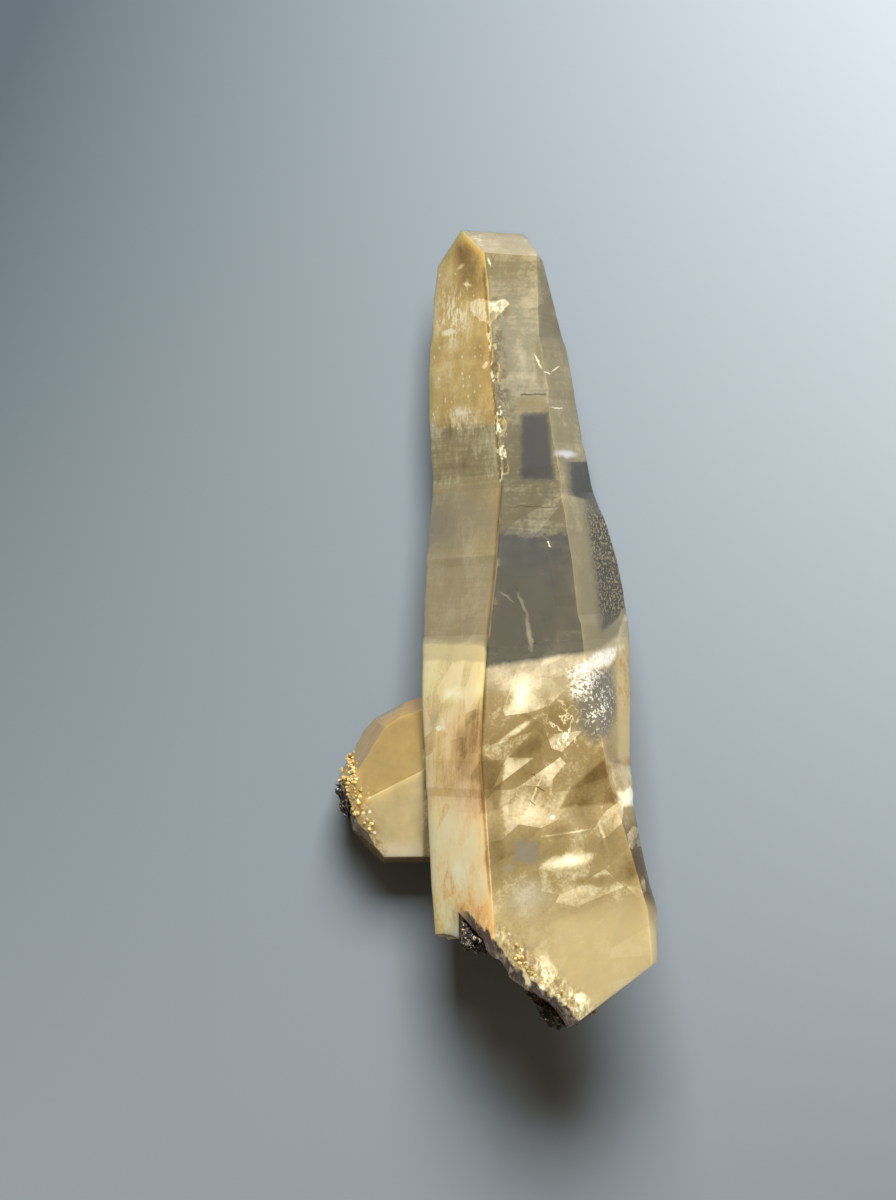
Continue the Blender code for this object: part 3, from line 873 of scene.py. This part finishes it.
# How far each crystal leans, and a full turn, in radians; how many are tried on a square metre; the scale
# of the patches they keep to; and how squarely a face has to face the broken way to be left bare.
DRUSE_LEAN = 0.6
FULL_TURN = 6.283
DRUSE_DENSITY = 6e6
DRUSE_PATCHES = 450.0
BROKEN_SHARE = 0.75
SMALL_CRYSTAL_ENDS = (-0.3, 0.5)
SMALL_CRYSTAL_TIP = (0.1, 0.05, 0.95)
DRUSE_BROWN = "#6b5530"
DRUSE_HONEY = "#a08a58"
DRUSE_GRIT = "#3a2f2a"


class Growth(Graph):
    """A Geometry Nodes tree with named inputs, built with the same ways of adding nodes."""

    def __init__(self, name, inputs):
        self.tree = bpy.data.node_groups.new(name, "GeometryNodeTree")
        self.sockets = {}
        for label, kind in inputs.items():
            self.sockets[label] = self.add_socket(label, "INPUT", kind).identifier
        self.add_socket("Grown", "OUTPUT", "Geometry")
        self.given = self.node("NodeGroupInput", {})

    def add_socket(self, label, way, kind):
        return self.tree.interface.new_socket(label, in_out=way, socket_type="NodeSocket" + kind)

    def grow(self, host, name, values):
        """The plain mesh that this tree makes of a host object, which is then removed."""
        modifier = host.modifiers.new(name, "NODES")
        modifier.node_group = self.tree
        for label, value in values.items():
            modifier[self.sockets[label]] = value
        grown = host.evaluated_get(bpy.context.evaluated_depsgraph_get())
        mesh = bpy.data.meshes.new_from_object(grown)
        host.modifiers.remove(modifier)
        ground = host.data
        bpy.data.objects.remove(host)
        bpy.data.meshes.remove(ground)
        return mesh


def druse_tree():
    """Small crystals spread over a surface, each leaning and sized at random."""
    g = Growth("druse", {
        "Ground": "Geometry", "Crystal": "Object", "Material": "Material", "Spacing": "Float",
        "Smallest": "Float", "Largest": "Float", "Lean": "Float", "Seed": "Int",
    })
    given = g.given.out
    lean = g.node("ShaderNodeMath", {"operation": "MULTIPLY"}, given("Lean"), -1.0).out()
    patches = g.node("ShaderNodeTexNoise", {}, Scale=DRUSE_PATCHES, Detail=2.0).number(0)
    settings = {"distribute_method": "POISSON"}
    spread = g.node("GeometryNodeDistributePointsOnFaces", settings, given("Ground"),
                    Distance_Min=given("Spacing"), Density_Max=DRUSE_DENSITY, Seed=given("Seed"))
    g.feed(spread.raw.inputs["Density Factor"], patches.rise(0.44, 0.6))
    low = g.node("ShaderNodeCombineXYZ", {}, lean, lean, 0.0).out()
    high = g.node("ShaderNodeCombineXYZ", {}, given("Lean"), given("Lean"), FULL_TURN).out()
    turn = g.node("FunctionNodeRandomValue", {"data_type": "FLOAT_VECTOR"}, low, high, Seed=given("Seed"))
    settings = {"rotation_space": "LOCAL"}
    turned = g.node("FunctionNodeRotateRotation", settings, spread.out("Rotation"), turn.out()).out()
    size = g.node("FunctionNodeRandomValue", {"data_type": "FLOAT"})
    g.feed(size.raw.inputs[2], given("Smallest"))
    g.feed(size.raw.inputs[3], given("Largest"))
    crystal = g.node("GeometryNodeObjectInfo", {}, given("Crystal"), True)
    set_down = g.node("GeometryNodeInstanceOnPoints", {}, spread.out("Points"),
                      Instance=crystal.out("Geometry"), Rotation=turned, Scale=size.out("Value"))
    whole = g.node("GeometryNodeRealizeInstances", {}, set_down.out())
    coated = g.node("GeometryNodeSetMaterial", {}, whole.out(), Material=given("Material"))
    g.node("NodeGroupOutput", {}, coated.out())
    return g


def small_crystal():
    """A six-sided crystal one unit wide, closed all round, that stands a little below its foot."""
    bm = bmesh.new()
    turns = [math.radians(60 * k) for k in range(6)]
    foot, shoulder = ([bm.verts.new((math.cos(turn) / 2, math.sin(turn) / 2, height)) for turn in turns]
                      for height in SMALL_CRYSTAL_ENDS)
    tip = bm.verts.new(SMALL_CRYSTAL_TIP)
    bm.faces.new(foot[::-1])
    for k in range(6):
        bm.faces.new((foot[k - 1], foot[k], shoulder[k], shoulder[k - 1]))
        bm.faces.new((shoulder[k - 1], shoulder[k], tip))
    return bpy.data.objects.new("small_crystal", as_mesh("small_crystal", bm))


def druse_ground(limits, way):
    """The crystal's own surface within these limits, without the broken surface that faces this way."""
    bm = welded_copy("quartz_crystal")
    for (x, y, z), outward in limits:
        at = Vector((x + AXIS_X, y + AXIS_Y, z)) * MM
        bmesh.ops.bisect_plane(bm, geom=[*bm.verts, *bm.edges, *bm.faces], plane_co=at, plane_no=outward,
                               clear_outer=True)
    broken = [face for face in bm.faces if face.normal.dot(Vector(way)) > BROKEN_SHARE]
    bmesh.ops.delete(bm, geom=broken, context="FACES")
    return place_object("ground", as_mesh("ground", bm))


def druse_material():
    """Milky druse from cream to honey brown, with dark grit between the crystals."""
    g = Graph("druse")
    _, _, where = g.place()
    patches = g.noise(where, 1.5, detail=3.0)
    tint = g.blend(patches.rise(0.35, 0.62), colour(DRUSE_BROWN), colour(DRUSE_HONEY))
    grit = g.noise(where, 0.6, detail=3.0).rise(0.58, 0.68)
    tint = g.blend(grit * 0.8, tint, colour(DRUSE_GRIT))
    body = g.node("ShaderNodeBsdfPrincipled", {}, Base_Color=tint, Roughness=0.22, IOR=QUARTZ_IOR,
                  Subsurface_Weight=0.4, Subsurface_Radius=(1.0, 0.8, 0.5), Subsurface_Scale=0.0006)
    return g.finish(body.out())


def make_druse(material):
    """The small crystals near both broken ends."""
    tree = druse_tree()
    crystal = small_crystal()
    for name, (limits, way, spacing, (smallest, largest), seed) in DRUSES.items():
        mesh = tree.grow(druse_ground(limits, way), name, {
            "Crystal": crystal, "Material": material, "Spacing": spacing * MM, "Smallest": smallest * MM,
            "Largest": largest * MM, "Lean": DRUSE_LEAN, "Seed": seed,
        })
        new_piece(name, mesh)


# ---------------------------------------------------------------- floor, light and camera
# The floor is painted lighter towards two opposite corners and darker towards the other two, as light
# falls on it: colours, middle tone, the place along where it stays even, and the product of the distances
# over which it changes from one colour to the other.
FLOOR_TONES = ((0.0, "#30383c"), (1.0, "#72787c"))
FLOOR_MIDDLE = 0.49
FLOOR_EVEN_ALONG = -19.0
FLOOR_CHANGE = 21850.0


def floor_material():
    """A pale blue-grey floor, with painted light: lighter in two corners, darker in the other two."""
    g = Graph("pale_floor")
    x, y, _ = g.place()
    # Painted light and shade: lighter towards two opposite corners, darker towards the other two.
    tone = x * (y - FLOOR_EVEN_ALONG) / FLOOR_CHANGE + FLOOR_MIDDLE
    tint = g.zones(tone, FLOOR_TONES, 0.0, 1.0)
    body = g.node("ShaderNodeBsdfPrincipled", {}, Base_Color=tint, Roughness=0.8, Specular_IOR_Level=0.2)
    return g.finish(body.out())


def make_floor():
    bm = bmesh.new()
    bmesh.ops.create_grid(bm, x_segments=1, y_segments=1, size=FLOOR_SIZE / 2)
    mesh = as_mesh("floor", bm)
    mesh.materials.append(floor_material())
    floor = place_object("floor", mesh)


def add_light(name, direction, distance, size, power):
    """A square softbox that looks at the wand from this direction."""
    light = bpy.data.lights.new(name, "AREA")
    light.size = size
    light.energy = power
    lamp = place_object(name, light)
    away = Vector(direction).normalized()
    lamp.location = away * distance
    lamp.visible_glossy = False
    lamp.visible_transmission = False
    lamp.rotation_euler = away.to_track_quat("Z", "Y").to_euler()


def make_world():
    world = bpy.data.worlds.new("studio")
    world.use_nodes = True
    background = world.node_tree.nodes["Background"]
    background.inputs["Color"].default_value = colour(SKY_COLOUR)
    background.inputs["Strength"].default_value = SKY_STRENGTH
    bpy.context.scene.world = world


def make_camera():
    camera = bpy.data.cameras.new("camera")
    camera.sensor_fit = "VERTICAL"
    camera.sensor_height = SENSOR
    camera.lens = SENSOR * (EYE[2] - FOCUS_HEIGHT) / VIEW_HEIGHT
    camera.clip_start = 0.01
    eye = place_object("camera", camera)
    eye.location = Vector(EYE) * MM
    bpy.context.scene.camera = eye


def main():
    bpy.context.scene.view_settings.view_transform = "Standard"
    make_crystal(crystal_material())
    matrix = matrix_material()
    for node in ("matrix_left", "matrix_right", "matrix_side"):
        make_matrix(node, matrix)
    make_druse(druse_material())
    make_floor()
    add_light("key", **KEY_LIGHT)
    make_world()
    make_camera()


main()
